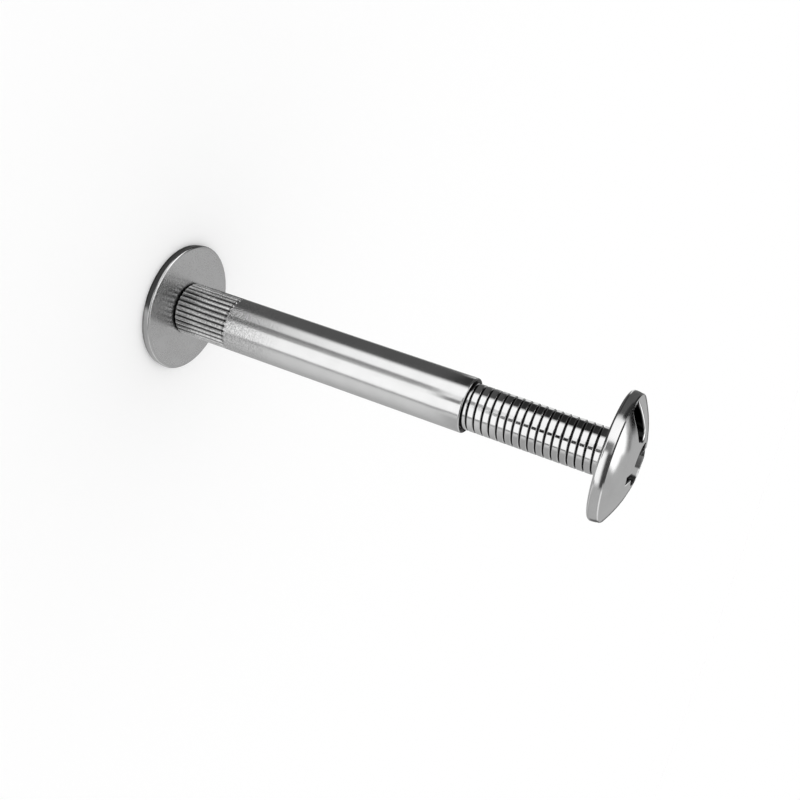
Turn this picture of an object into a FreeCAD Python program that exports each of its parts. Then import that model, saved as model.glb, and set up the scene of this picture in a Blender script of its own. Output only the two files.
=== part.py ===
import FreeCAD, Part

import math
import os

import Sketcher

# Furniture connector bolt: a sleeve nut and a screw, partly driven together.
# The pair stands on the flat head of the sleeve nut. +Z runs along the common axis
# towards the screw's head, and the origin is the centre of the sleeve nut's outer face.

doc = FreeCAD.newDocument("connector_bolt")

# Driving dimensions, in millimetres and degrees. Each is set by itself.
DIMENSIONS = [
    ("sleeve_head_dia", 17.4, "disc head of the sleeve nut"),
    ("sleeve_head_thick", 1.0, "thickness of that disc"),
    ("sleeve_head_bevel", 0.4, "bevel of its outer edge"),
    ("sleeve_head_edge", 0.15, "bevel of its edge on the barrel's side"),
    ("neck_step", 0.6, "how far the short neck lies inside the barrel's surface"),
    ("neck_length", 0.35, "length of the neck"),
    ("barrel_wall", 0.525, "wall round the bore; the barrel is 7.15 mm across"),
    ("barrel_length", 42.7, "from the disc to the open end"),
    ("mouth_chamfer", 0.15, "outer edge of the open end, across"),
    ("mouth_chamfer_long", 0.25, "the same edge, along the axis"),
    ("mouth_sink", 0.3, "countersink of the bore, across and along"),
    ("blind_length", 3.7, "solid barrel between the disc and the full bore"),
    ("bore_point", 1.6, "cone that the drill leaves"),
    ("running_clearance", 0.05, "radial, between bore and thread crests"),
    ("knurl_count", 30, "ridges round the barrel"),
    ("knurl_length", 8.5, "from the disc to where the grooves end"),
    ("knurl_fade", 1.0, "length over which the grooves run out"),
    ("knurl_depth", 0.24, "depth of a groove"),
    ("knurl_width", 0.38, "width of a groove at the crests"),
    ("tool_over", 0.15, "how far a cutting profile stands out of the metal"),
    ("thread_dia", 6.0, "crests of the screw's thread"),
    ("thread_pitch", 1.0, "one turn of the thread"),
    ("groove_width", 0.42, "width of the thread's groove at the crests"),
    ("groove_depth", 0.34, "depth of the groove"),
    ("tip_chamfer", 0.7, "end of the shank"),
    ("engaged_length", 8.5, "thread inside the sleeve at rest"),
    ("exposed_length", 18.1, "shank seen between the mouth and the screw's head"),
    ("screw_head_dia", 16.2, "disc head of the screw"),
    ("rim_height", 1.45, "band round that head"),
    ("rim_bevel", 0.3, "bevel of its back edge"),
    ("rim_draft", 0.2, "how much the band narrows to the crown"),
    ("crown_height", 2.15, "low dome over the band"),
    ("slot_width", 2.2, "width of the slot's two arms"),
    ("slot_inner", 4.0, "where an arm's round inner end begins, from the axis"),
    ("slot_outer", 7.75, "outer end of an arm, from the axis"),
    ("slot_depth", 2.1, "depth of the arms below the crown's top"),
    ("centre_dia", 5.3, "round middle of the recess at the crown"),
    ("centre_depth", 3.0, "depth of that middle"),
    ("wing_span", 7.8, "from end to end of the two wings beside it"),
    ("wing_width", 1.2, "width of a wing at the crown"),
    ("wing_depth", 2.2, "depth of the wings"),
    ("recess_taper", 9.0, "slope of the walls of middle and wings, in degrees"),
]

sheet = doc.addObject("Spreadsheet::Sheet", "Sizes")
for row, (alias, value, note) in enumerate(DIMENSIONS, start=1):
    sheet.set(f"A{row}", alias)
    sheet.set(f"B{row}", str(value))
    sheet.set(f"C{row}", note)
    sheet.setAlias(f"B{row}", alias)
doc.recompute()


def size(alias):
    """Value of one driving dimension as a plain number."""
    return float(sheet.get(alias))


# Heights along the axis, written once as formulas over the sheet.
MOUTH = "(Sizes.sleeve_head_thick + Sizes.barrel_length)"
HEAD_BACK = f"({MOUTH} + Sizes.exposed_length)"
TIP = f"({MOUTH} - Sizes.engaged_length)"
RIM_TOP = f"({HEAD_BACK} + Sizes.rim_height)"
CROWN_TOP = f"({RIM_TOP} + Sizes.crown_height)"
BORE_RADIUS = "(Sizes.thread_dia / 2 + Sizes.running_clearance)"
BARREL_RADIUS = f"({BORE_RADIUS} + Sizes.barrel_wall)"
NECK_RADIUS = f"({BARREL_RADIUS} - Sizes.neck_step)"
CROWN_RADIUS = "(Sizes.screw_head_dia / 2 - Sizes.rim_draft)"


def origin_plane(body, role):
    """A plane or axis of the body's own origin."""
    return next(item for item in body.Origin.OriginFeatures if item.Role == role)


def evaluate(expression):
    """Value of an expression over the sheet, used as a sketch's first position."""
    text = expression
    for alias, _value, _note in sorted(DIMENSIONS, key=lambda row: -len(row[0])):
        text = text.replace(f"Sizes.{alias}", repr(size(alias)))
    node = doc.addObject("App::FeaturePython", "Probe")
    node.addProperty("App::PropertyFloat", "Result")
    node.setExpression("Result", text)
    node.recompute()
    value = node.Result
    doc.removeObject(node.Name)
    return value


def outline_sketch(body, name, plane, corners, height=None):
    """Closed outline through the corners; every corner is dimensioned from the sheet.

    A corner is (x, y) in expressions. A third item is the radius of an arc that runs
    from that corner to the next one, and a fourth is +1 or -1 for the side it bulges to.
    """
    sketch = body.newObject("Sketcher::SketchObject", name)
    sketch.AttachmentSupport = origin_plane(body, plane)
    sketch.MapMode = "FlatFace"
    if height is not None:
        sketch.setExpression("AttachmentOffset.Base.z", height)
    points = [FreeCAD.Vector(evaluate(c[0]), evaluate(c[1]), 0) for c in corners]
    count = len(points)
    for index, corner in enumerate(corners):
        start, end = points[index], points[(index + 1) % count]
        if len(corner) == 2:
            sketch.addGeometry(Part.LineSegment(start, end), False)
            continue
        radius, side = evaluate(corner[2]), corner[3]
        chord = end - start
        half = chord.Length / 2
        across = FreeCAD.Vector(chord.y, -chord.x, 0).normalize() * side
        sagitta = radius - math.sqrt(max(radius ** 2 - half ** 2, 0.0))
        middle = (start + end) / 2 + across * sagitta
        sketch.addGeometry(Part.Arc(start, middle, end), False)
    ends = []
    for index, corner in enumerate(corners):
        first, last = 1, 2
        if len(corner) > 2:
            arc = sketch.Geometry[index]
            if (arc.StartPoint - points[index]).Length > (arc.EndPoint - points[index]).Length:
                first, last = 2, 1
        ends.append((first, last))
    for index in range(count):
        following = (index + 1) % count
        sketch.addConstraint(
            Sketcher.Constraint("Coincident", index, ends[index][1], following, ends[following][0])
        )
    for index, corner in enumerate(corners):
        for kind, expression, position in (
            ("DistanceX", corner[0], points[index].x),
            ("DistanceY", corner[1], points[index].y),
        ):
            if expression == "0":
                axis = -2 if kind == "DistanceX" else -1
                sketch.addConstraint(
                    Sketcher.Constraint("PointOnObject", index, ends[index][0], axis)
                )
                continue
            number = sketch.addConstraint(
                Sketcher.Constraint(kind, -1, 1, index, ends[index][0], position)
            )
            sketch.renameConstraint(number, f"{kind[-1].lower()}_{index}")
            sketch.setExpression(f"Constraints.{kind[-1].lower()}_{index}", expression)
        if len(corner) > 2:
            number = sketch.addConstraint(
                Sketcher.Constraint("Radius", index, evaluate(corner[2]))
            )
            sketch.renameConstraint(number, f"radius_{index}")
            sketch.setExpression(f"Constraints.radius_{index}", corner[2])
    doc.recompute()
    return sketch


def turned(body, name, sketch):
    """Full revolution of the sketch about the common axis."""
    feature = body.newObject("PartDesign::Revolution", name)
    feature.Profile = sketch
    feature.ReferenceAxis = (sketch, ["V_Axis"])
    feature.Angle = 360.0
    doc.recompute()
    return feature


def sleeve_profile():
    """Half section of the sleeve nut: radius across, height along the axis."""
    head = "Sizes.sleeve_head_dia / 2"
    outer = "Sizes.sleeve_head_bevel"
    inner = "Sizes.sleeve_head_edge"
    thick = "Sizes.sleeve_head_thick"
    neck_top = f"{thick} + Sizes.neck_length"
    bore_end = f"{thick} + Sizes.blind_length"
    return [
        ("0", "0"),
        (f"{head} - {outer}", "0"),
        (head, outer),
        (head, f"{thick} - {inner}"),
        (f"{head} - {inner}", thick),
        (NECK_RADIUS, thick),
        (NECK_RADIUS, neck_top),
        (BARREL_RADIUS, f"{neck_top} + Sizes.neck_step"),
        (BARREL_RADIUS, f"{MOUTH} - Sizes.mouth_chamfer_long"),
        (f"{BARREL_RADIUS} - Sizes.mouth_chamfer", MOUTH),
        (f"{BORE_RADIUS} + Sizes.mouth_sink", MOUTH),
        (BORE_RADIUS, f"{MOUTH} - Sizes.mouth_sink"),
        (BORE_RADIUS, bore_end),
        ("0", f"{bore_end} - Sizes.bore_point"),
    ]


def screw_profile():
    """Half section of the screw before its thread and its recess are cut."""
    shank = "Sizes.thread_dia / 2"
    head = "Sizes.screw_head_dia / 2"
    crown = f"(({CROWN_RADIUS}) ^ 2 + Sizes.crown_height ^ 2) / (2 * Sizes.crown_height)"
    return [
        ("0", TIP),
        (f"{shank} - Sizes.tip_chamfer", TIP),
        (shank, f"{TIP} + Sizes.tip_chamfer"),
        (shank, HEAD_BACK),
        (f"{head} - Sizes.rim_bevel", HEAD_BACK),
        (head, f"{HEAD_BACK} + Sizes.rim_bevel"),
        (CROWN_RADIUS, RIM_TOP, crown, 1),
        ("0", CROWN_TOP),
    ]


def knurl_groove(body):
    """One straight V groove that runs out of the barrel at its far end."""
    tool_tip = f"{BARREL_RADIUS} + Sizes.tool_over"
    root = f"{BARREL_RADIUS} - Sizes.knurl_depth"
    half = "Sizes.knurl_width / 2 * (1 + Sizes.tool_over / Sizes.knurl_depth)"
    lift = "(Sizes.knurl_depth + Sizes.tool_over / 2)"
    stations = [
        ("Sizes.sleeve_head_thick + Sizes.neck_length / 2", "0"),
        ("Sizes.sleeve_head_thick + Sizes.knurl_length - Sizes.knurl_fade", "0"),
        ("Sizes.sleeve_head_thick + Sizes.knurl_length", lift),
    ]
    sections = []
    for number, (height, rise) in enumerate(stations, start=1):
        corners = [
            (f"{root} + {rise}", "0"),
            (f"{tool_tip} + {rise}", half),
            (f"{tool_tip} + {rise}", f"-({half})"),
        ]
        sections.append(outline_sketch(body, f"KnurlSection{number}", "XY_Plane", corners, height))
    groove = body.newObject("PartDesign::SubtractiveLoft", "KnurlGroove")
    groove.Profile = sections[0]
    groove.Sections = sections[1:]
    groove.Ruled = True
    doc.recompute()
    return groove


def make_sleeve_nut():
    """The sleeve nut: head, neck, knurl, barrel and bore, one turned piece."""
    body = doc.addObject("PartDesign::Body", "SleeveNut")
    body.Label = "sleeve_nut"
    turned(body, "SleeveTurned", outline_sketch(body, "SleeveSection", "XZ_Plane", sleeve_profile()))
    groove = knurl_groove(body)
    knurl = body.newObject("PartDesign::PolarPattern", "Knurl")
    knurl.Originals = [groove]
    knurl.Axis = (origin_plane(body, "Z_Axis"), [""])
    knurl.Angle = 360.0
    knurl.setExpression("Occurrences", "Sizes.knurl_count")
    body.Tip = knurl
    doc.recompute()
    return body


def cut_thread(body):
    """Narrow helical groove from below the tip up to the screw's head."""
    crest = "Sizes.thread_dia / 2"
    root = f"{crest} - Sizes.groove_depth"
    outer = "(Sizes.groove_width / 2 * (1 + Sizes.tool_over / Sizes.groove_depth))"
    start = f"({TIP} - Sizes.thread_pitch / 2)"
    corners = [
        (root, start),
        (f"{crest} + Sizes.tool_over", f"{start} - {outer}"),
        (f"{crest} + Sizes.tool_over", f"{start} + {outer}"),
    ]
    profile = outline_sketch(body, "ThreadSection", "XZ_Plane", corners)
    thread = body.newObject("PartDesign::SubtractiveHelix", "Thread")
    thread.Profile = profile
    thread.ReferenceAxis = (profile, ["V_Axis"])
    thread.Mode = 0
    thread.setExpression("Pitch", "Sizes.thread_pitch")
    thread.setExpression(
        "Height", "Sizes.engaged_length + Sizes.exposed_length - Sizes.thread_pitch * 0.1"
    )
    thread.LeftHanded = False
    thread.Reversed = False
    doc.recompute()
    return thread


def recess_pocket(body, name, corners, depth, taper):
    """A pocket down from the crown's top whose walls close in as it goes down."""
    sketch = outline_sketch(body, f"{name}Outline", "XY_Plane", corners, CROWN_TOP)
    pocket = body.newObject("PartDesign::Pocket", name)
    pocket.Profile = sketch
    pocket.setExpression("Length", depth)
    if taper:
        pocket.setExpression("TaperAngle", taper)
    pocket.Reversed = False
    doc.recompute()
    return pocket


def cut_slot_arms(body):
    """The slot: an arm towards each side, round at its inner end, with metal left between."""
    half = "Sizes.slot_width / 2"
    inner, outer = "Sizes.slot_inner", "Sizes.slot_outer"
    corners = [
        (inner, f"-{half}"),
        (outer, f"-{half}"),
        (outer, half),
        (inner, half, "Sizes.slot_width * 0.6", 1),
    ]
    arm = recess_pocket(body, "SlotArm", corners, "Sizes.slot_depth", None)
    arms = body.newObject("PartDesign::PolarPattern", "SlotArms")
    arms.Originals = [arm]
    arms.Axis = (origin_plane(body, "Z_Axis"), [""])
    arms.Angle = 360.0
    arms.Occurrences = 2
    body.Tip = arms
    doc.recompute()
    return arms


def cut_middle(body):
    """Two short wings and the round middle between the arms of the slot."""
    wing = "Sizes.wing_width / 2"
    reach = "Sizes.wing_span / 2"
    corners = [(f"-{wing}", f"-{reach}"), (wing, f"-{reach}"), (wing, reach), (f"-{wing}", reach)]
    recess_pocket(body, "Wings", corners, "Sizes.wing_depth", "-Sizes.recess_taper")
    floor = f"({CROWN_TOP} - Sizes.centre_depth)"
    wall = "tan(Sizes.recess_taper * 1deg)"
    section = [
        ("0", floor),
        (f"Sizes.centre_dia / 2 - Sizes.centre_depth * {wall}", floor),
        (f"Sizes.centre_dia / 2 + Sizes.tool_over * {wall}", f"{CROWN_TOP} + Sizes.tool_over"),
        ("0", f"{CROWN_TOP} + Sizes.tool_over"),
    ]
    middle = body.newObject("PartDesign::Groove", "RecessMiddle")
    middle.Profile = outline_sketch(body, "MiddleSection", "XZ_Plane", section)
    middle.ReferenceAxis = (middle.Profile[0], ["V_Axis"])
    middle.Angle = 360.0
    doc.recompute()
    return middle


def make_screw():
    """The screw: threaded shank, rimmed head with a low dome, and the drive recess."""
    body = doc.addObject("PartDesign::Body", "Screw")
    body.Label = "screw"
    turned(body, "ScrewTurned", outline_sketch(body, "ScrewSection", "XZ_Plane", screw_profile()))
    cut_thread(body)
    cut_slot_arms(body)
    body.Tip = cut_middle(body)
    doc.recompute()
    return body


pieces = [make_sleeve_nut(), make_screw()]
doc.recompute()

for item in doc.Objects:
    if "Invalid" in item.State or "Error" in item.State:
        raise RuntimeError(f"{item.Label} did not build: {item.State}")

os.makedirs("parts", exist_ok=True)
for piece in pieces:
    shape = piece.Shape
    if shape.isNull() or not shape.isValid() or len(shape.Solids) != 1:
        raise RuntimeError(f"{piece.Label} is not one valid solid")
    shape.exportStep(f"parts/{piece.Label}.step")
    box = shape.BoundBox
    print(piece.Label, "volume", round(shape.Volume, 2), "mm3, height", round(box.ZLength, 2), "mm")
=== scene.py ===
import math

import bmesh
import bpy
import numpy as np
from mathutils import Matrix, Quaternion, Vector
from mathutils.geometry import delaunay_2d_cdt


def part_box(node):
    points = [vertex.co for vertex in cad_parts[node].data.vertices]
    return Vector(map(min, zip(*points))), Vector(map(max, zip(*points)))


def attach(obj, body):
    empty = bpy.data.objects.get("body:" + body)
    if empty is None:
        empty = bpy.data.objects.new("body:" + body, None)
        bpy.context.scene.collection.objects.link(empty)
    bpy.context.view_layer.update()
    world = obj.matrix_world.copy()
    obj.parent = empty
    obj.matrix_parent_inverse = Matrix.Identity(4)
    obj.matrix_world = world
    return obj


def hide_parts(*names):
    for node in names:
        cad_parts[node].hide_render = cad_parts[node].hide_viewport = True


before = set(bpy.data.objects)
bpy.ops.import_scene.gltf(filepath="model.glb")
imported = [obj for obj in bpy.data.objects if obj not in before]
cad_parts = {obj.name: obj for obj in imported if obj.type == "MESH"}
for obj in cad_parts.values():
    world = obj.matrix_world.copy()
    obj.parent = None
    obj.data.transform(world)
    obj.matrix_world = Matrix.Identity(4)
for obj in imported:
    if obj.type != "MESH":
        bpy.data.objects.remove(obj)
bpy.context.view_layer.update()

MM = 0.001
TURN = 2 * math.pi

# Sizes of the two pieces in metres, along the common axis from the floor up.
SLEEVE_LOW, SLEEVE_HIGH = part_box("sleeve_nut")
SCREW_LOW, SCREW_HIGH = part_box("screw")
MOUTH = SLEEVE_HIGH.z
TIP = SCREW_LOW.z
SLEEVE_HEAD_RADIUS = -SLEEVE_LOW.x
SCREW_HEAD_RADIUS = SCREW_HIGH.x

# The photograph's flat head is a little thicker than the solid's 1.0 mm.
SLEEVE_HEAD_THICK = 1.15 * MM
FOOT_ROUND = 0.06 * MM
RIM_LEAN = 0.16 * MM
RIM_LEAN_POWER = 1.2
FACE_ROUND = 0.34 * MM
FACE_ROUND_TALL = 0.2 * MM
BORE_RADIUS = 3.05 * MM
BARREL_RADIUS = 3.575 * MM
NECK_RADIUS = 2.975 * MM
NECK_LENGTH = 0.2 * MM
NECK_ROUND = 0.1 * MM
SHOULDER_LENGTH = 0.36 * MM
SHOULDER_RISE_POWER = 0.6
SHOULDER_LENGTH_POWER = 0.8
BLIND_LENGTH = 3.55 * MM
BORE_POINT = 1.6 * MM
MOUTH_CHAMFER = 0.15 * MM
MOUTH_CHAMFER_LONG = 0.25 * MM
MOUTH_SINK = 0.3 * MM
BORE_IN_VIEW = 3.0 * MM

KNURL_COUNT = 30
KNURL_START = SLEEVE_HEAD_THICK + 0.3 * MM
KNURL_END = SLEEVE_HEAD_THICK + 8.35 * MM
KNURL_FADE = 0.4 * MM
KNURL_END_LENGTH = 0.8 * MM
KNURL_DEPTH = 0.24 * MM
KNURL_GROOVE = 0.88
KNURL_GROOVE_END = 0.96
KNURL_COLUMNS = 16
FADE_ROWS = (0.04 * MM, 0.2 * MM)

THREAD_RADIUS = 3.0 * MM
THREAD_PITCH = 1.0 * MM
THREAD_DEPTH = 0.34 * MM
THREAD_COLUMNS = 120
# Turned so that the grooves fall where the photograph has them.
THREAD_PHASE = -0.6
THREAD_INTO_HEAD = 0.3 * MM
END_TURN = 0.45
TIP_CHAMFER = 0.7 * MM

# The crown's apex is cut away by the recess, so the head is measured from its back face.
HEAD_BACK = MOUTH + 18.1 * MM
RIM_HEIGHT = 1.45 * MM
RIM_ROUND = 0.3 * MM
RIM_DRAFT = 0.2 * MM
CREASE_ROUND = 0.17 * MM
CREASE_OUT = 0.5
CREASE_DOWN = 0.87
CROWN_HEIGHT = 2.15 * MM
RIM_TOP = HEAD_BACK + RIM_HEIGHT
CROWN_TOP = RIM_TOP + CROWN_HEIGHT
CROWN_RADIUS = SCREW_HEAD_RADIUS - RIM_DRAFT
CROWN_SPHERE = (CROWN_RADIUS ** 2 + CROWN_HEIGHT ** 2) / (2 * CROWN_HEIGHT)
CROWN_CENTRE = CROWN_TOP - CROWN_SPHERE
HEAD_COLUMNS = 192
DOME_SPACING = 0.09 * MM

ARM_HALF = 1.1 * MM
ARM_INNER = 4.0 * MM
ARM_OUTER = 7.75 * MM
ARM_NOSE = 1.32 * MM
ARM_DEPTH = 2.1 * MM
MIDDLE_RADIUS = 2.65 * MM
MIDDLE_DEPTH = 3.0 * MM
WING_HALF = 0.6 * MM
WING_REACH = 3.9 * MM
WING_DEPTH = 2.2 * MM
RECESS_TAPER = math.tan(math.radians(9.0))
RECESS_ROUND = 0.36 * MM
MIDDLE_ROUND = 0.1 * MM
LEAST_WALL = 0.03 * MM
LEAST_STEP = 0.01 * MM
ROUND_SHARE = 0.7

# Edges turn sharp past these angles, in degrees, and points nearer than the merge distance become one.
SLEEVE_SHARP = 35.0
THREAD_SHARP = 28.0
HEAD_SHARP = 26.0
MERGE_DISTANCE = 1e-7
LEAST_EDGE = 1e-8

# Where the mesh has rows or rings on its plain faces, as shares of the radius or as lengths.
UNDERSIDE_RINGS = (0.0, 0.5, 0.95)
FACE_RING = 0.7
NECK_TOP_ROW = 0.05 * MM
FIRST_RIDGE_ROW = 0.3 * MM
BACK_RING = 0.5 * MM
DOME_FIRST_RING, DOME_LAST_RING = 0.97, 0.02
DOME_RINGS = 34
DOME_FACING = 0.9995
DOME_NEAR = 0.002 * MM

# How far the painted shade in crevices reaches on each piece, and how dark it gets.
SLEEVE_REACH = 0.5 * MM
SCREW_REACH = 0.6 * MM
PAINTED_CREVICE_SHADE = 0.03

# The plating: tone, roughness, and noise scales for each metre.
TONE_LOW, TONE_HIGH = 0.8, 0.86
ROUGHNESS = 0.1
STREAK_ROUGHNESS = 0.07
MOTTLE_ROUGHNESS = 0.06
STREAK_SCALE = 9000.0
STREAK_STRETCH = 0.04
MOTTLE_SCALE = 420.0
SPECK_SCALE = 5200.0
SPECK_TONE = 0.3
SPECK_RELIEF = 24.0
RELIEF_STRENGTH = 0.12
RELIEF_HEIGHT = 0.01 * MM
# Samples and band of the painted shade in crevices.
CREVICE_SAMPLES = 8
CREVICE_BAND = (0.25, 0.85)
SPECK_BAND = (0.4, 0.64)
MOTTLE_BAND = (0.3, 0.7)

# What differs from place to place on each piece: painted shade and light, roughness and grain.
FACE_PAINTED_SHADE = 0.88
FACE_ROUGHNESS = 0.11
KNURL_ROUGHNESS = 0.1
# Painted shade in the knurl's grooves and a painted sheen on its ridges.
GROOVE_PAINTED_SHADE, RIDGE_PAINTED_SHEEN = 0.1, 1.14
GRAIN_LENGTH = 9 * MM
# Painted shade down the recess, with painted light on some of its walls.
RECESS_PAINTED_SHADE = 0.985
RECESS_WALL_PAINTED_LIGHT = 0.4
ARM_END_PAINTED_SHADE = 0.5
WING_PAINTED_SHADE = 0.6
THREAD_ROUGHNESS = -0.07
HEAD_ROUGHNESS = -0.04

# The bands over which those marks, the painted shade and light among them, begin or end, by radius,
# height or depth.
MARK_EDGE = 0.1 * MM
# Band of the painted shade inside the bore.
BORE_SHADE_BAND = (BARREL_RADIUS - 0.11 * MM, BARREL_RADIUS - 0.07 * MM)
GROOVE_SHADE_BAND = (BARREL_RADIUS - 0.21 * MM, BARREL_RADIUS - 0.11 * MM)
RIDGE_BAND = (KNURL_START, KNURL_START + 0.3 * MM)
FACE_BAND = (SLEEVE_HEAD_THICK + 0.01 * MM, SLEEVE_HEAD_THICK + 0.06 * MM)
FLAT_END = SLEEVE_HEAD_RADIUS - 0.5 * MM
MIDDLE_BAND = (WING_REACH, 1.1 * WING_REACH)
SUNK_BAND = (0.05 * MM, 0.24 * MM)
ARM_END_BAND = (ARM_OUTER - 1.1 * MM, ARM_OUTER - 0.2 * MM)
WING_BAND = (WING_REACH - 1.0 * MM, WING_REACH - 0.5 * MM)
CROWN_BAND = (CROWN_RADIUS - 0.1 * MM, CROWN_RADIUS - 0.05 * MM)
BACK_BAND = (HEAD_BACK + 0.1 * MM, HEAD_BACK + 0.3 * MM)
HEAD_BAND = (HEAD_BACK, HEAD_BACK + 0.05 * MM)

# The photograph's camera: place, aim, roll about the view line, and lens for a 36 mm sensor.
CAMERA_AT = Vector((75.41, 99.69, 81.0)) * MM
CAMERA_AIM = Vector((-1.81, 1.3, 34.64)) * MM
CAMERA_ROLL = math.radians(109.55)
CAMERA_LENS = 47.6
CAMERA_SENSOR = 36.0
CAMERA_NEAR = 1.0 * MM
FLOOR_REACH = 4.0


def new_object(name, verts, faces, sharp_angle):
    """A closed, smooth-shaded mesh object with sharp edges past the angle, in degrees."""
    mesh = bpy.data.meshes.new(name)
    mesh.from_pydata(verts, [], faces)
    tidy = bmesh.new()
    tidy.from_mesh(mesh)
    bmesh.ops.remove_doubles(tidy, verts=tidy.verts, dist=MERGE_DISTANCE)
    bmesh.ops.dissolve_degenerate(tidy, edges=tidy.edges, dist=LEAST_EDGE)
    bmesh.ops.recalc_face_normals(tidy, faces=tidy.faces)
    tidy.to_mesh(mesh)
    tidy.free()
    mesh.shade_smooth()
    mesh.set_sharp_from_angle(angle=math.radians(sharp_angle))
    piece = bpy.data.objects.new(name, mesh)
    bpy.context.scene.collection.objects.link(piece)
    return piece


def ring_surface(rows, columns):
    """Vertices and faces from rows of (radius, height) arrays, one value for each column."""
    angles = np.arange(columns) * TURN / columns
    verts, faces = [], []
    for radius, height in rows:
        radius = np.broadcast_to(radius, columns)
        height = np.broadcast_to(height, columns)
        verts += list(zip(radius * np.cos(angles), radius * np.sin(angles), height))
    for row in range(len(rows) - 1):
        for column in range(columns):
            following = (column + 1) % columns
            faces.append((
                row * columns + column, row * columns + following,
                (row + 1) * columns + following, (row + 1) * columns + column,
            ))
    return verts, faces


def rounded(corner_radius, corner_height, round_size, start, end, steps=5):
    """Points of a rounded edge: an arc whose centre is given, between two angles in degrees."""
    points = []
    for step in range(steps + 1):
        angle = math.radians(start + (end - start) * step / steps)
        points.append((
            corner_radius + round_size * math.cos(angle),
            corner_height + round_size * math.sin(angle),
        ))
    return points


def sleeve_nut():
    """The sleeve nut with rounded edges and a knurl of rounded ridges."""
    columns = KNURL_COUNT * KNURL_COLUMNS
    phase = np.arange(columns) / KNURL_COLUMNS % 1.0

    def groove_shape(width):
        """Depth share across one ridge: 0 on the ridge, 1 at the root of the groove."""
        across = np.clip(np.abs(phase - 0.5) * 2 / width, 0, 1)
        return 0.5 * (1 - across) + 0.25 * (1 + np.cos(math.pi * across))

    groove = groove_shape(KNURL_GROOVE)
    head, thick = SLEEVE_HEAD_RADIUS, SLEEVE_HEAD_THICK
    rows = [(head * ring, 0.0) for ring in UNDERSIDE_RINGS]
    foot = head - RIM_LEAN - FOOT_ROUND
    rows += rounded(foot, FOOT_ROUND, FOOT_ROUND, -90, -12, 4)
    rim = thick - FACE_ROUND_TALL - FOOT_ROUND
    for share in np.linspace(0, 1, 6)[1:]:
        lean = RIM_LEAN * (1 - share) ** RIM_LEAN_POWER
        rows.append((head - lean, FOOT_ROUND + rim * share))
    for angle in np.linspace(0, math.pi / 2, 8)[1:]:
        rows.append((
            head - FACE_ROUND * (1 - math.cos(angle)),
            thick - FACE_ROUND_TALL * (1 - math.sin(angle)),
        ))
    rows.append((head * FACE_RING, thick))
    rows.append((NECK_RADIUS + NECK_ROUND, thick))
    rows.append((NECK_RADIUS, thick + NECK_ROUND))
    neck_top = thick + NECK_LENGTH
    rows.append((NECK_RADIUS, neck_top - NECK_TOP_ROW))
    step = BARREL_RADIUS - NECK_RADIUS
    for share in np.linspace(0, 1, 9):
        rise = math.sin(share * math.pi / 2) ** SHOULDER_RISE_POWER
        along = 1 - math.cos(share * math.pi / 2) ** SHOULDER_LENGTH_POWER
        height = neck_top + SHOULDER_LENGTH * along
        ridge = NECK_RADIUS + step * rise
        rows.append((np.minimum(ridge, BARREL_RADIUS - KNURL_DEPTH * groove), height))
    fade_start = KNURL_END - KNURL_FADE
    widening = fade_start - KNURL_END_LENGTH
    for height in np.linspace(neck_top + step + FIRST_RIDGE_ROW, widening, 8):
        rows.append((BARREL_RADIUS - KNURL_DEPTH * groove, height))
    for share in np.linspace(0, 1, 5)[1:]:
        wider = groove_shape(KNURL_GROOVE + (KNURL_GROOVE_END - KNURL_GROOVE) * share)
        rows.append((BARREL_RADIUS - KNURL_DEPTH * wider, widening + KNURL_END_LENGTH * share))
    for share in np.linspace(0, 1, 7)[1:]:
        depth = KNURL_DEPTH * np.clip(groove_shape(KNURL_GROOVE_END) - share, 0, 1)
        rows.append((BARREL_RADIUS - depth, fade_start + KNURL_FADE * share))
    rows += [(BARREL_RADIUS, KNURL_END + past) for past in FADE_ROWS]
    for height in np.linspace(KNURL_END, MOUTH - MOUTH_CHAMFER_LONG, 8)[1:]:
        rows.append((BARREL_RADIUS, height))
    for share in np.linspace(0, 1, 5)[1:]:
        fall = 1 - math.cos(share * math.pi / 2)
        rise = math.sin(share * math.pi / 2)
        rows.append((
            BARREL_RADIUS - MOUTH_CHAMFER * fall,
            MOUTH - MOUTH_CHAMFER_LONG * (1 - rise),
        ))
    rows += [
        (BORE_RADIUS + MOUTH_SINK, MOUTH),
        (BORE_RADIUS, MOUTH - MOUTH_SINK),
        (BORE_RADIUS, MOUTH - BORE_IN_VIEW),
        (BORE_RADIUS, thick + BLIND_LENGTH),
        (0.0, thick + BLIND_LENGTH - BORE_POINT),
    ]
    verts, faces = ring_surface(rows, columns)
    return new_object("sleeve_nut_surface", verts, faces, SLEEVE_SHARP)


# One turn of the thread: share of the pitch from the groove's root, and share of its depth.
THREAD_SECTION = [
    (0.0, 1.0), (0.03, 0.96), (0.1, 0.24), (0.13, 0.08), (0.155, 0.02), (0.18, 0.0), (0.21, 0.0),
    (0.79, 0.0), (0.82, 0.0), (0.845, 0.02), (0.87, 0.08), (0.9, 0.24), (0.97, 0.96),
]


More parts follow.
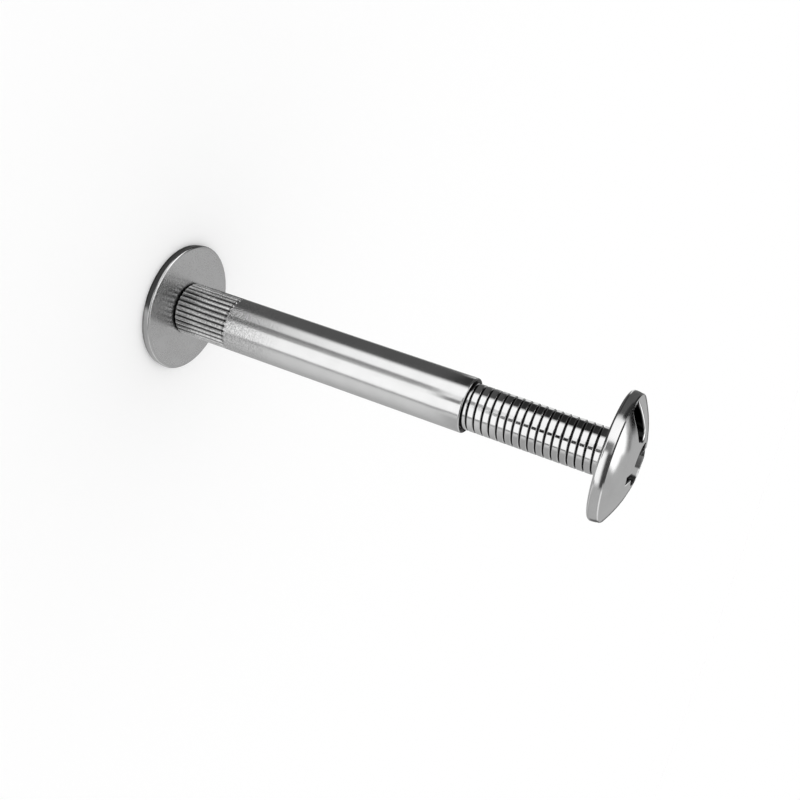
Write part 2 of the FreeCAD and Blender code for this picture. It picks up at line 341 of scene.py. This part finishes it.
def threaded_shank():
    """Helical thread from the tip into the head, closed at both ends."""
    turns_below = 1
    top = HEAD_BACK + THREAD_INTO_HEAD
    turns = math.ceil((top - TIP) / THREAD_PITCH) + 3
    per_turn = len(THREAD_SECTION)
    angles = np.arange(THREAD_COLUMNS) * TURN / THREAD_COLUMNS
    verts, faces = [], []
    for row in range(turns * per_turn + 1):
        share, depth = THREAD_SECTION[row % per_turn]
        turn = row // per_turn + share - turns_below - 0.5 + THREAD_PHASE
        height = TIP + turn * THREAD_PITCH
        z = height + angles / TURN * THREAD_PITCH
        radius = np.full(THREAD_COLUMNS, THREAD_RADIUS - depth * THREAD_DEPTH)
        radius = np.minimum(radius, THREAD_RADIUS - TIP_CHAMFER + np.maximum(z - TIP, 0))
        below = np.clip((TIP - z) / (END_TURN * THREAD_PITCH), 0, 1)
        above = np.clip((z - top) / (END_TURN * THREAD_PITCH), 0, 1)
        radius = radius * (1 - below) * (1 - above)
        z = np.clip(z, TIP, top)
        verts += list(zip(radius * np.cos(angles), radius * np.sin(angles), z))
    rows = turns * per_turn + 1
    for row in range(rows - 1):
        for column in range(THREAD_COLUMNS):
            low = row * THREAD_COLUMNS + column
            high = low + THREAD_COLUMNS
            right_low, right_high = low + 1, high + 1
            if column + 1 == THREAD_COLUMNS:
                right_low = min(row + per_turn, rows - 1) * THREAD_COLUMNS
                right_high = min(row + per_turn + 1, rows - 1) * THREAD_COLUMNS
            faces.append((low, right_low, right_high, high))
    return new_object("shank", verts, faces, THREAD_SHARP)


def crown_height(x, y):
    """Height of the dome over a point of the head."""
    return CROWN_CENTRE + math.sqrt(CROWN_SPHERE ** 2 - x * x - y * y)


def arm_outline(side, steps=14):
    """Outline of one arm of the slot, with its round inner end; side is +1 or -1."""
    middle = ARM_INNER + math.sqrt(ARM_NOSE ** 2 - ARM_HALF ** 2)
    widest = math.asin(ARM_HALF / ARM_NOSE)
    points = [(x, -ARM_HALF) for x in np.linspace(ARM_INNER, ARM_OUTER, steps)]
    points += [(ARM_OUTER, y) for y in np.linspace(-ARM_HALF, ARM_HALF, 9)[1:-1]]
    points += [(x, ARM_HALF) for x in np.linspace(ARM_OUTER, ARM_INNER, steps)]
    for angle in np.linspace(math.pi - widest, math.pi + widest, steps + 2)[1:-1]:
        points.append((middle + ARM_NOSE * math.cos(angle), ARM_NOSE * math.sin(angle)))
    return [(x * side, y * side) for x, y in points]


def middle_outline(steps=26):
    """Outline of the round middle with its two wings, and which points lie on a wing."""
    points, on_wing = [], []
    start = math.asin(WING_HALF / MIDDLE_RADIUS)
    for turn in (0.0, math.pi):
        for angle in np.linspace(-math.pi / 2 + start, math.pi / 2 - start, steps) + turn:
            points.append((MIDDLE_RADIUS * math.cos(angle), MIDDLE_RADIUS * math.sin(angle)))
            on_wing.append(False)
        base = MIDDLE_RADIUS * math.cos(start)
        flank = np.linspace(base, WING_REACH, 7)[1:]
        wing = [(WING_HALF, y) for y in flank] + [(0.0, WING_REACH)]
        wing += [(-WING_HALF, y) for y in flank[::-1]]
        for x, y in wing:
            points.append((x * math.cos(turn), y * math.cos(turn)))
            on_wing.append(True)
    return points, on_wing


def moved_outward(outline, distances):
    """The outline with each point moved outward, square to its two sides."""
    moved = []
    count = len(outline)
    for index, distance in enumerate(distances):
        before, here, after = (Vector(outline[k % count]) for k in (index - 1, index, index + 1))
        first, second = (here - before).normalized(), (after - here).normalized()
        normal = Vector((first.y + second.y, -first.x - second.x)).normalized()
        stretch = 1 / max(normal.dot(Vector((first.y, -first.x))), 0.5)
        moved.append(tuple(here + normal * distance * stretch))
    return moved


def pocket_rows(outline, floor_depth, edge_round, lower_rows):
    """Rows of a pocket, from the dome over its rounded edge and wall to the floor."""
    floor = CROWN_TOP - floor_depth
    rounds = []
    for x, y in outline:
        wall = max(crown_height(x, y) - floor, LEAST_WALL)
        rounds.append(min(edge_round, ROUND_SHARE * wall))
    rows = []
    for angle in np.linspace(0, math.pi / 2, 6):
        places = moved_outward(outline, [size * (1 - math.sin(angle)) for size in rounds])
        rows.append([
            (x, y, crown_height(x, y) - size * (1 - math.cos(angle)))
            for (x, y), size in zip(places, rounds)
        ])
    lowest = [z for _x, _y, z in rows[-1]]
    for depth, inset, places in lower_rows:
        shape = moved_outward(places, [-inset] * len(places))
        rows.append([
            (x, y, min(CROWN_TOP - depth, low - LEAST_STEP)) for (x, y), low in zip(shape, lowest)
        ])
    return rows


def onto_circle(outline, on_wing, radius):
    """The same points with those of the wings drawn in to the circle."""
    drawn = []
    for (x, y), wing in zip(outline, on_wing):
        if wing:
            y = math.copysign(math.sqrt(radius ** 2 - x * x), y)
        drawn.append((x, y))
    return drawn


def recess_pockets():
    """Rows of the three pockets of the drive recess."""
    pockets = []
    for side in (1, -1):
        arm = arm_outline(side)
        pockets.append(pocket_rows(arm, ARM_DEPTH, RECESS_ROUND, [(ARM_DEPTH, 0.0, arm)]))
    middle, on_wing = middle_outline()
    wing_inset = WING_DEPTH * RECESS_TAPER
    narrowed = moved_outward(middle, [-wing_inset] * len(middle))
    circle_radius = MIDDLE_RADIUS - wing_inset
    circle = onto_circle(narrowed, on_wing, circle_radius)
    last_inset = (MIDDLE_DEPTH - WING_DEPTH) * RECESS_TAPER
    shrink = (circle_radius - last_inset) / circle_radius
    last = [(x * shrink, y * shrink) for x, y in circle]
    lower_rows = [(WING_DEPTH, 0.0, narrowed), (WING_DEPTH, 0.0, circle), (MIDDLE_DEPTH, 0.0, last)]
    pockets.append(pocket_rows(middle, WING_DEPTH, MIDDLE_ROUND, lower_rows))
    return pockets


def inside(point, outline):
    """Whether a point lies inside a closed outline."""
    x, y = point
    within = False
    for (x1, y1), (x2, y2) in zip(outline, outline[1:] + outline[:1]):
        if (y1 > y) != (y2 > y) and x < (x2 - x1) * (y - y1) / (y2 - y1) + x1:
            within = not within
    return within


def dome_faces(pockets):
    """Vertices and triangles of the dome round the pockets, from the crease inward."""
    flat, edges = [], []
    loops = [[(x, y) for x, y, _z in rows[0]] for rows in pockets]
    crease = []
    for k in range(HEAD_COLUMNS):
        angle = TURN * k / HEAD_COLUMNS
        crease.append((CROWN_RADIUS * math.cos(angle), CROWN_RADIUS * math.sin(angle)))
    for loop in loops + [crease]:
        first = len(flat)
        flat += loop
        edges += [(first + k, first + (k + 1) % len(loop)) for k in range(len(loop))]
    border = np.array(flat)
    for ring in np.linspace(DOME_FIRST_RING, DOME_LAST_RING, DOME_RINGS):
        count = max(int(HEAD_COLUMNS * ring), 8)
        for k in range(count):
            angle = TURN * (k + 0.5 * (ring > 0.5)) / count
            point = np.array((math.cos(angle), math.sin(angle))) * CROWN_RADIUS * ring
            if np.min(np.hypot(*(border - point).T)) > DOME_SPACING:
                if not any(inside(point, loop) for loop in loops):
                    flat.append(tuple(point))
    scaled = [Vector(p) / MM for p in flat]
    places, _edges, triangles, *_rest = delaunay_2d_cdt(scaled, edges, [], 0, 1e-5)
    places = [p * MM for p in places]
    verts = [(p.x, p.y, crown_height(p.x, p.y)) for p in places]
    kept = []
    for triangle in triangles:
        centre = sum((places[k] for k in triangle), Vector((0, 0))) / 3
        if not any(inside(centre, loop) for loop in loops):
            kept.append(tuple(triangle))
    return verts, kept


def screw_head():
    """Thick-rimmed head with a low dome and its drive recess."""
    rows = [(0.0, HEAD_BACK), (THREAD_RADIUS + BACK_RING, HEAD_BACK)]
    rows += rounded(SCREW_HEAD_RADIUS - RIM_ROUND, HEAD_BACK + RIM_ROUND, RIM_ROUND, -90, 0)
    band = RIM_TOP - HEAD_BACK - RIM_ROUND
    for share in np.linspace(0, 1, 9)[1:]:
        rows.append((SCREW_HEAD_RADIUS - RIM_DRAFT * share ** 2, HEAD_BACK + RIM_ROUND + band * share))
    rows[-1] = (CROWN_RADIUS + CREASE_OUT * CREASE_ROUND, RIM_TOP - CREASE_DOWN * CREASE_ROUND)
    rows.append((CROWN_RADIUS, RIM_TOP))
    verts, faces = ring_surface(rows, HEAD_COLUMNS)
    pockets = recess_pockets()
    dome, triangles = dome_faces(pockets)
    first = len(verts)
    verts += dome
    faces += [tuple(first + k for k in triangle) for triangle in triangles]
    for pocket in pockets:
        first, count = len(verts), len(pocket[0])
        for row in pocket:
            verts += row
        for row in range(len(pocket) - 1):
            for k in range(count):
                low, high = first + row * count, first + (row + 1) * count
                faces.append((low + k, low + (k + 1) % count, high + (k + 1) % count, high + k))
        faces.append(tuple(range(first + (len(pocket) - 1) * count, first + len(pocket) * count)))
    head = new_object("screw_surface", verts, faces, HEAD_SHARP)
    exact_dome_normals(head.data)
    return head


def exact_dome_normals(mesh):
    """Give every corner on the dome the sphere's own normal."""
    centre = Vector((0, 0, CROWN_CENTRE))
    normals = [Vector(corner.vector) for corner in mesh.corner_normals]
    for face in mesh.polygons:
        radial = (face.center - centre).normalized()
        if face.center.z < RIM_TOP or radial.dot(face.normal) < DOME_FACING:
            continue
        for loop in face.loop_indices:
            place = mesh.vertices[mesh.loops[loop].vertex_index].co
            if abs((place - centre).length - CROWN_SPHERE) < DOME_NEAR:
                normals[loop] = (place - centre).normalized()
    mesh.normals_split_custom_set(normals)


def join(first, second):
    """One object from two closed shells, which keeps the normals of both."""
    for piece in bpy.context.selected_objects:
        piece.select_set(False)
    first.select_set(True)
    second.select_set(True)
    bpy.context.view_layer.objects.active = first
    bpy.ops.object.join()
    return first


def screw():
    """The screw: head and threaded shank."""
    return join(screw_head(), threaded_shank())


def node(tree, kind, **values):
    """A shader node with its settings and its unlinked socket values."""
    made = tree.nodes.new(kind)
    for key, value in values.items():
        if key.startswith("in_"):
            name = key[3:]
            made.inputs[int(name) if name.isdigit() else name.replace("_", " ")].default_value = value
        else:
            setattr(made, key, value)
    return made


def math_node(tree, operation, first, second=None):
    """A Math node whose inputs are sockets or numbers."""
    made = node(tree, "ShaderNodeMath", operation=operation)
    for index, value in enumerate((first, second)):
        if value is None:
            continue
        if isinstance(value, (int, float)):
            made.inputs[index].default_value = value
        else:
            tree.links.new(value, made.inputs[index])
    return made.outputs[0]


def ranged(tree, value, low, high, to_low, to_high, smooth=False):
    """A value carried from one range to another and held at both ends."""
    made = node(tree, "ShaderNodeMapRange", clamp=True)
    if smooth:
        made.interpolation_type = "SMOOTHSTEP"
    for index, number in enumerate((low, high, to_low, to_high), start=1):
        made.inputs[index].default_value = number
    tree.links.new(value, made.inputs[0])
    return made.outputs[0]


def sleeve_painted_shade_and_marks(tree, _place, radius, height):
    """Painted shade and light, added roughness and grain of the sleeve nut by place."""
    # Painted shade inside the bore and its mouth chamfer, near black in the last few millimetres in
    # view.
    bore_shade = ranged(tree, radius, *BORE_SHADE_BAND, PAINTED_CREVICE_SHADE, 1.0)
    deep_end = MOUTH - BORE_IN_VIEW
    low = ranged(tree, height, deep_end, deep_end + MARK_EDGE, 1.0, 0.0)
    shade = math_node(tree, "MAXIMUM", bore_shade, low)
    above_face = ranged(tree, height, *FACE_BAND, 0.0, 1.0)
    knurled = ranged(tree, height, KNURL_END, KNURL_END + MARK_EDGE, 1.0, 0.0)
    knurled = math_node(tree, "MULTIPLY", knurled, above_face)
    # Painted shade in the knurl's grooves and a painted sheen, a little over 1, on its ridges.
    groove_shade_ridge_sheen = ranged(tree, radius, *GROOVE_SHADE_BAND, GROOVE_PAINTED_SHADE, RIDGE_PAINTED_SHEEN)
    ridged = ranged(tree, height, *RIDGE_BAND, 0.0, 1.0)
    groove_shade_ridge_sheen = math_node(tree, "POWER", groove_shade_ridge_sheen, math_node(tree, "MULTIPLY", knurled, ridged))
    # The flat head, face, rim and underside, painted a little darker: painted shade.
    face = ranged(tree, above_face, 0.0, 1.0, FACE_PAINTED_SHADE, 1.0)
    shade = math_node(tree, "MULTIPLY", shade, math_node(tree, "MULTIPLY", groove_shade_ridge_sheen, face))
    flange = ranged(tree, radius, FLAT_END, FLAT_END + MARK_EDGE, FACE_ROUGHNESS, 0.0)
    flange = math_node(tree, "MULTIPLY", flange, ranged(tree, above_face, 0.0, 1.0, 1.0, 0.0))
    knurl_rough = math_node(tree, "MULTIPLY", knurled, KNURL_ROUGHNESS)
    rough = math_node(tree, "ADD", flange, knurl_rough)
    grain = ranged(tree, height, KNURL_END, KNURL_END + GRAIN_LENGTH, 1.0, 0.0)
    grain = math_node(tree, "MULTIPLY", grain, above_face)
    return shade, rough, grain


def screw_painted_shade_and_marks(tree, place, radius, height):
    """Painted shade and added roughness of the screw by place: near black painted shade down the
    recess, painted light on some walls, no grain.
    """
    split = node(tree, "ShaderNodeSeparateXYZ")
    tree.links.new(place, split.inputs[0])
    from_centre = node(tree, "ShaderNodeVectorMath", operation="DISTANCE")
    from_centre.inputs[1].default_value = (0, 0, CROWN_CENTRE)
    tree.links.new(place, from_centre.inputs[0])
    sunk = math_node(tree, "SUBTRACT", CROWN_SPHERE, from_centre.outputs["Value"])
    # Painted light on the walls of one quarter of the middle pocket.
    quarter = math_node(tree, "MULTIPLY", split.outputs[0], split.outputs[1])
    painted_wall_light = ranged(tree, quarter, 0.0, MM * MM, 0.0, RECESS_WALL_PAINTED_LIGHT)
    in_middle = ranged(tree, radius, *MIDDLE_BAND, 1.0, 0.0)
    painted_wall_light = math_node(tree, "MULTIPLY", painted_wall_light, in_middle)
    deepest_painted_shade = math_node(tree, "SUBTRACT", RECESS_PAINTED_SHADE, painted_wall_light)
    # Painted shade that darkens down the recess with depth, weaker at the arms' outer ends and the
    # wings' tips.
    depth_shade = ranged(tree, sunk, *SUNK_BAND, 0.0, 1.0)
    arm_end = ranged(tree, radius, *ARM_END_BAND, 1.0, ARM_END_PAINTED_SHADE)
    sideways = math_node(tree, "ABSOLUTE", split.outputs[1])
    wing = ranged(tree, sideways, *WING_BAND, 1.0, WING_PAINTED_SHADE)
    depth_shade = math_node(tree, "MULTIPLY", depth_shade, math_node(tree, "MULTIPLY", wing, arm_end))
    depth_shade = math_node(tree, "MULTIPLY", depth_shade, deepest_painted_shade)
    within = ranged(tree, radius, *CROWN_BAND, 1.0, 0.0)
    above_back = ranged(tree, height, *BACK_BAND, 0.0, 1.0)
    painted_darkness = math_node(tree, "MULTIPLY", depth_shade, math_node(tree, "MULTIPLY", within, above_back))
    rough = ranged(tree, height, *HEAD_BAND, THREAD_ROUGHNESS, HEAD_ROUGHNESS)
    return math_node(tree, "SUBTRACT", 1.0, painted_darkness), rough, None


def plated_steel(name, marks, reach):
    """Satin nickel plating: fine streaks along the axis and faint mottling, with painted shade in the
    crevices and the pieces' painted shade and light in its colour.
    """
    material = bpy.data.materials.new(name)
    material.use_nodes = True
    tree = material.node_tree
    shader = tree.nodes["Principled BSDF"]
    shader.inputs["Metallic"].default_value = 1.0
    place = node(tree, "ShaderNodeTexCoord")
    split = node(tree, "ShaderNodeSeparateXYZ")
    tree.links.new(place.outputs["Object"], split.inputs[0])
    level = node(tree, "ShaderNodeVectorMath", operation="MULTIPLY", in_1=(1, 1, 0))
    tree.links.new(place.outputs["Object"], level.inputs[0])
    radius = node(tree, "ShaderNodeVectorMath", operation="LENGTH")
    tree.links.new(level.outputs[0], radius.inputs[0])
    painted_shade_and_light, mark_rough, grain = marks(
        tree, place.outputs["Object"], radius.outputs["Value"], split.outputs[2],
    )

    stretch = node(tree, "ShaderNodeMapping", in_Scale=(1.0, 1.0, STREAK_STRETCH))
    tree.links.new(place.outputs["Object"], stretch.inputs["Vector"])
    streaks = node(tree, "ShaderNodeTexNoise", in_Scale=STREAK_SCALE, in_Detail=3.0, in_Roughness=0.6)
    tree.links.new(stretch.outputs["Vector"], streaks.inputs["Vector"])
    mottle = node(tree, "ShaderNodeTexNoise", in_Scale=MOTTLE_SCALE, in_Detail=4.0, in_Roughness=0.55)
    tree.links.new(place.outputs["Object"], mottle.inputs["Vector"])
    specks = node(tree, "ShaderNodeTexNoise", in_Scale=SPECK_SCALE, in_Detail=2.0, in_Roughness=0.5)
    tree.links.new(place.outputs["Object"], specks.inputs["Vector"])

    # Painted shade in crevices: an ambient occlusion node darkens the colour where surfaces crowd in.
    crevice_shade = node(tree, "ShaderNodeAmbientOcclusion", samples=CREVICE_SAMPLES)
    crevice_shade.inputs["Distance"].default_value = reach
    open_share = ranged(tree, crevice_shade.outputs["AO"], *CREVICE_BAND, 0.0, 1.0)
    shade = ranged(tree, open_share, 0.0, 1.0, PAINTED_CREVICE_SHADE, 1.0)
    shade = math_node(tree, "MULTIPLY", shade, painted_shade_and_light)
    if grain is not None:
        spots = ranged(tree, specks.outputs[0], *SPECK_BAND, 0.0, SPECK_TONE)
        spots = math_node(tree, "SUBTRACT", 1.0, math_node(tree, "MULTIPLY", spots, grain))
        shade = math_node(tree, "MULTIPLY", shade, spots)
    tone = ranged(tree, mottle.outputs[0], *MOTTLE_BAND, TONE_LOW, TONE_HIGH)
    colour = node(tree, "ShaderNodeCombineColor")
    grey = math_node(tree, "MULTIPLY", shade, tone)
    for index in range(3):
        tree.links.new(grey, colour.inputs[index])
    tree.links.new(colour.outputs[0], shader.inputs["Base Color"])

    uneven = math_node(
        tree, "ADD",
        math_node(tree, "MULTIPLY", streaks.outputs[0], STREAK_ROUGHNESS),
        math_node(tree, "MULTIPLY", mottle.outputs[0], MOTTLE_ROUGHNESS),
    )
    satin = math_node(tree, "ADD", math_node(tree, "ADD", uneven, ROUGHNESS), mark_rough)
    tree.links.new(satin, shader.inputs["Roughness"])
    relief = streaks.outputs[0]
    if grain is not None:
        rise = math_node(tree, "MULTIPLY", specks.outputs[0], SPECK_RELIEF)
        relief = math_node(tree, "ADD", relief, math_node(tree, "MULTIPLY", rise, grain))
    bump = node(tree, "ShaderNodeBump", in_Strength=RELIEF_STRENGTH, in_Distance=RELIEF_HEIGHT)
    tree.links.new(relief, bump.inputs["Height"])
    tree.links.new(bump.outputs[0], shader.inputs["Normal"])
    return material


def dress(piece, material, body, cad_node):
    """Material, body and replaced node of one piece."""
    piece.data.materials.clear()
    piece.data.materials.append(material)
    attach(piece, body)
    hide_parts(cad_node)


# Light boxes and dark cards that the metal sees, in degrees, each laid over those before it:
# bearing from the camera, half width, soft edge, lowest and highest height, soft edge,
# strength, and the lean of its sides away from upright.
STUDIO_BASE = 0.44
STUDIO_CARDS = [
    # seen by the barrel
    (62, 8, 75, -90, 8, 6, 0.7, 0),
    (-112, 38, 7, -90, 12, 8, 0.09, 0),
    (-41, 16, 14, -90, 32, 4, 1.12, 0),
    (24, 26, 5, -90, 8, 10, 1.12, 0),
    (-21.5, 4, 4.5, -90, -15.4, 0.5, 0.27, 0.7),
    (52, 2.5, 4, -90, -15, 1, 0.36, 0.6),
    # seen by the thread
    (-12, 17, 4, -15.4, -8.4, 0.5, 1.12, 0),
    (2.5, 5.5, 2.5, -15.4, -8.2, 0.5, 0.0, 0),
    (-98, 24, 6, -15, -9, 1, 0.02, 0),
    (-160, 24, 6, -15, -9, 1, 0.8, 0),
    (112, 34, 22, -15, -9, 1, 0.38, 0),
    (53, 1.5, 4, -15, -9, 1, 0.2, 0),
    # seen by the rim of the screw's head
    (-11, 6, 5, -9, 20, 1, 0.2, 0),
    (112, 50, 8, -9, 15, 1.5, 0.44, 0),
    # seen by the knurl and the rim of the flat head
    (-90, 80, 8, -90, -28.5, 9, 0.12, 0),
    (24, 30, 8, -90, -31.8, 6, 0.5, 0),
    (95, 40, 15, -90, -30, 5, 0.42, 0),
    (-95, 85, 10, -90, -37, 5, 0.06, 0),
    (6, 22, 8, -90, -36, 3, 0.07, 0),
    # seen by the crease, the edges and the dome
    (-105, 35, 8, 8, 38, 4, 0.02, 0),
    (-105, 35, 6, 43, 66, 3, 1.6, 0),
    (-25, 45, 8, 34, 54, 3, 0.02, 0),
    (-25, 45, 8, 58, 75, 3, 1.6, 0),
    (30, 28, 8, 12, 54, 4, 0.05, 0),
    (95, 16, 6, 25, 45, 3, 0.85, 0),
    (122, 12, 6, 15, 40, 3, 0.8, 0),
    (141, 8, 4, 7, 30, 3, 0.7, 0),
    (180, 28, 10, -8, 5, 4, 0.12, 0),
    (-150, 8, 10, 33, 49.5, 4, 0.0, 0),
    (-166, 6, 4, 47, 52.5, 2.5, 0.2, 0),
    (-158, 16, 5, 55, 90, 3, 1.3, 0),
    (-177, 17, 5, 58.5, 90, 3, 1.3, 0),
    (0, 180, 5, 78, 90, 6, 1.2, 0),
]
LEAN_FROM = -25


def banded(tree, value, middle, half, soft):
    """1 within half of the middle, falling to 0 over the soft edge."""
    off = math_node(tree, "ABSOLUTE", math_node(tree, "SUBTRACT", value, middle))
    return ranged(tree, off, half, half + soft, 1.0, 0.0, smooth=True)


def studio():
    """White to the camera, even to the floor, and light boxes and dark cards in the metal."""
    world = bpy.data.worlds.new("studio")
    bpy.context.scene.world = world
    world.use_nodes = True
    tree = world.node_tree
    background = tree.nodes["Background"]
    place = node(tree, "ShaderNodeTexCoord")
    split = node(tree, "ShaderNodeSeparateXYZ")
    tree.links.new(place.outputs["Generated"], split.inputs[0])
    bearing = math_node(tree, "DEGREES", math_node(tree, "ARCTAN2", split.outputs[1], split.outputs[0]))
    height = math_node(tree, "DEGREES", math_node(tree, "ARCSINE", split.outputs[2]))
    camera_bearing = math.degrees(math.atan2(CAMERA_AT.y, CAMERA_AT.x))
    seen_strength = STUDIO_BASE
    for middle, half, soft, low, high, edge, strength, lean in STUDIO_CARDS:
        turned = math_node(tree, "SUBTRACT", bearing, camera_bearing + middle - lean * LEAN_FROM)
        if lean:
            turned = math_node(tree, "SUBTRACT", turned, math_node(tree, "MULTIPLY", height, lean))
        wrapped = node(tree, "ShaderNodeMath", operation="WRAP", in_1=180.0, in_2=-180.0)
        tree.links.new(turned, wrapped.inputs[0])
        across = banded(tree, wrapped.outputs[0], 0.0, half, soft)
        upright = banded(tree, height, (low + high) / 2, (high - low) / 2 - edge / 2, edge)
        mask = math_node(tree, "MULTIPLY", across, upright)
        mixed = node(tree, "ShaderNodeMix", data_type="FLOAT")
        tree.links.new(mask, mixed.inputs[0])
        if isinstance(seen_strength, float):
            mixed.inputs[2].default_value = seen_strength
        else:
            tree.links.new(seen_strength, mixed.inputs[2])
        mixed.inputs[3].default_value = strength
        seen_strength = mixed.outputs[0]
    ray = node(tree, "ShaderNodeLightPath")
    shown = node(tree, "ShaderNodeMix", data_type="FLOAT")
    shown.inputs[2].default_value = 1.0
    tree.links.new(ray.outputs["Is Glossy Ray"], shown.inputs[0])
    tree.links.new(seen_strength, shown.inputs[3])
    tree.links.new(shown.outputs[0], background.inputs["Strength"])
    background.inputs["Color"].default_value = (1, 1, 1, 1)


def floor():
    """Plain white floor that keeps the object's soft shadow."""
    reach = FLOOR_REACH
    verts = [(-reach, -reach, 0), (reach, -reach, 0), (reach, reach, 0), (-reach, reach, 0)]
    mesh = bpy.data.meshes.new("floor")
    mesh.from_pydata(verts, [], [(0, 1, 2, 3)])
    piece = bpy.data.objects.new("floor", mesh)
    bpy.context.scene.collection.objects.link(piece)
    material = bpy.data.materials.new("floor_white")
    material.use_nodes = True
    shader = material.node_tree.nodes["Principled BSDF"]
    shader.inputs["Base Color"].default_value = (1, 1, 1, 1)
    shader.inputs["Roughness"].default_value = 1.0
    shader.inputs["Specular IOR Level"].default_value = 0.0
    mesh.materials.append(material)
    piece.visible_glossy = False


def camera():
    """The photograph's view."""
    data = bpy.data.cameras.new("camera")
    data.lens = CAMERA_LENS
    data.sensor_width = CAMERA_SENSOR
    data.clip_start = CAMERA_NEAR
    view = bpy.data.objects.new("camera", data)
    bpy.context.scene.collection.objects.link(view)
    view.location = CAMERA_AT
    view.rotation_mode = "QUATERNION"
    level = (CAMERA_AIM - CAMERA_AT).to_track_quat("-Z", "Y")
    view.rotation_quaternion = level @ Quaternion((0, 0, 1), CAMERA_ROLL)
    bpy.context.scene.camera = view


bpy.context.scene.view_settings.view_transform = "Standard"
sleeve_steel = plated_steel("sleeve_steel", sleeve_painted_shade_and_marks, SLEEVE_REACH)
screw_steel = plated_steel("screw_steel", screw_painted_shade_and_marks, SCREW_REACH)
dress(sleeve_nut(), sleeve_steel, "sleeve_nut", "sleeve_nut")
dress(screw(), screw_steel, "screw", "screw")
studio()
floor()
camera()
